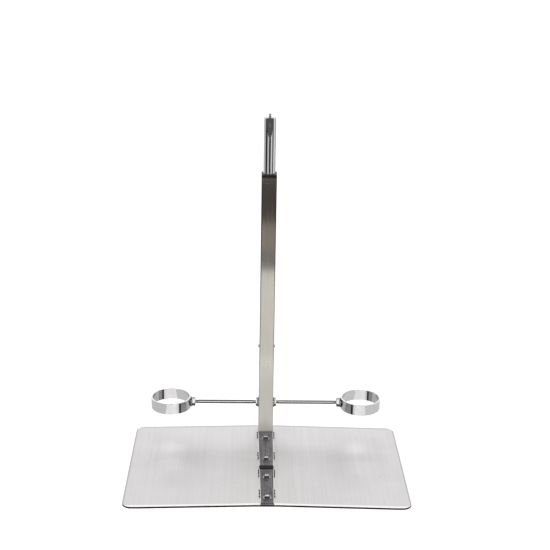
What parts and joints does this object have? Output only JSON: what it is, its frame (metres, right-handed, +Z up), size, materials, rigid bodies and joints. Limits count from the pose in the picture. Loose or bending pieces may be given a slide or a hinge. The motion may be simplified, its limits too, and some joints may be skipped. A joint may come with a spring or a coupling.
{
  "type": "ham holder stand",
  "caption": "Countertop stand: folded steel base plate, square post with a lifting round spindle, and side arms carrying tilting cup rings.",
  "frame": {"origin": "on the counter under the middle of the stand's footprint, which runs from the plate's front edge to the back of the cup rings", "axes": "+X to the right, +Y to the back where the post stands, +Z up along the post"},
  "size_m": [0.45, 0.297, 0.568],
  "materials": {
    "brushed_plate": "fine brushed, light grey",
    "brushed_post": "brushed along its length",
    "polished_bar": "darkened steel, streaked, with bright worn bevels",
    "polished_rod": "mirror polished",
    "drawn_rod": "bright drawn, darker than the spindle",
    "mirror_ring": "mirror polished",
    "bright_fastener": "bright zinc",
    "crowned_screw": "darkened head with a bright polished crown",
    "plain_steel": "plain machined",
    "weld_metal": "dark heat-tinted weld bead",
    "bearing_brass": "machined",
    "foot_rubber": "matt black",
    "spacer_rubber": "matt near-black",
    "black_plastic": "matt black",
    "natural_nylon": "natural nylon"
  },
  "bodies": {
    "stand": {"arm_coupling": "plain_steel", "base_plate": "brushed_plate", "cross_pin": "plain_steel", "foot_bar_spacer": "spacer_rubber", "foot_nuts": "bright_fastener", "foot_screws": "crowned_screw", "foot_washers": "plain_steel", "front_foot_bar": "polished_bar", "left_arm_rod": "drawn_rod", "left_post_nut": "bright_fastener", "left_ring_nut": "bright_fastener", "post_foot_plug": "plain_steel", "post_foot_screws": "plain_steel", "post_rim_cap": "black_plastic", "post_tube": "brushed_post", "rear_foot_bar": "polished_bar", "right_arm_rod": "drawn_rod", "right_post_nut": "bright_fastener", "right_ring_nut": "bright_fastener", "rubber_feet": "foot_rubber", "stitch_welds": "weld_metal", "top_guide_bush": "black_plastic"},
    "lift_guide": {"lower_guide": "natural_nylon", "thrust_washer": "bearing_brass"},
    "spindle": {"spindle_rod": "polished_rod", "head_screw": "plain_steel", "finial": "plain_steel", "journal_washer": "plain_steel", "journal_screw": "plain_steel"},
    "left_ring": {"left_cup_ring": "mirror_ring"},
    "right_ring": {"right_cup_ring": "mirror_ring"}
  },
  "joints": [
    {"name": "spindle_lift", "type": "slide", "parent": "stand", "child": "lift_guide", "axis": [0, 0, 1], "range_m": [0, 0.22]},
    {"name": "spindle_turn", "type": "hinge", "parent": "lift_guide", "child": "spindle", "pos_m": [0, 0.1145, 0.2], "axis": [0, 0, 1], "continuous": true},
    {"name": "left_ring_tilt", "type": "hinge", "parent": "stand", "child": "left_ring", "pos_m": [-0.13, 0.1145, 0.0625], "axis": [1, 0, 0], "range_deg": [-90, 90]},
    {"name": "right_ring_tilt", "type": "hinge", "parent": "stand", "child": "right_ring", "pos_m": [0.13, 0.1145, 0.0625], "axis": [1, 0, 0], "range_deg": [-90, 90]}
  ]
}
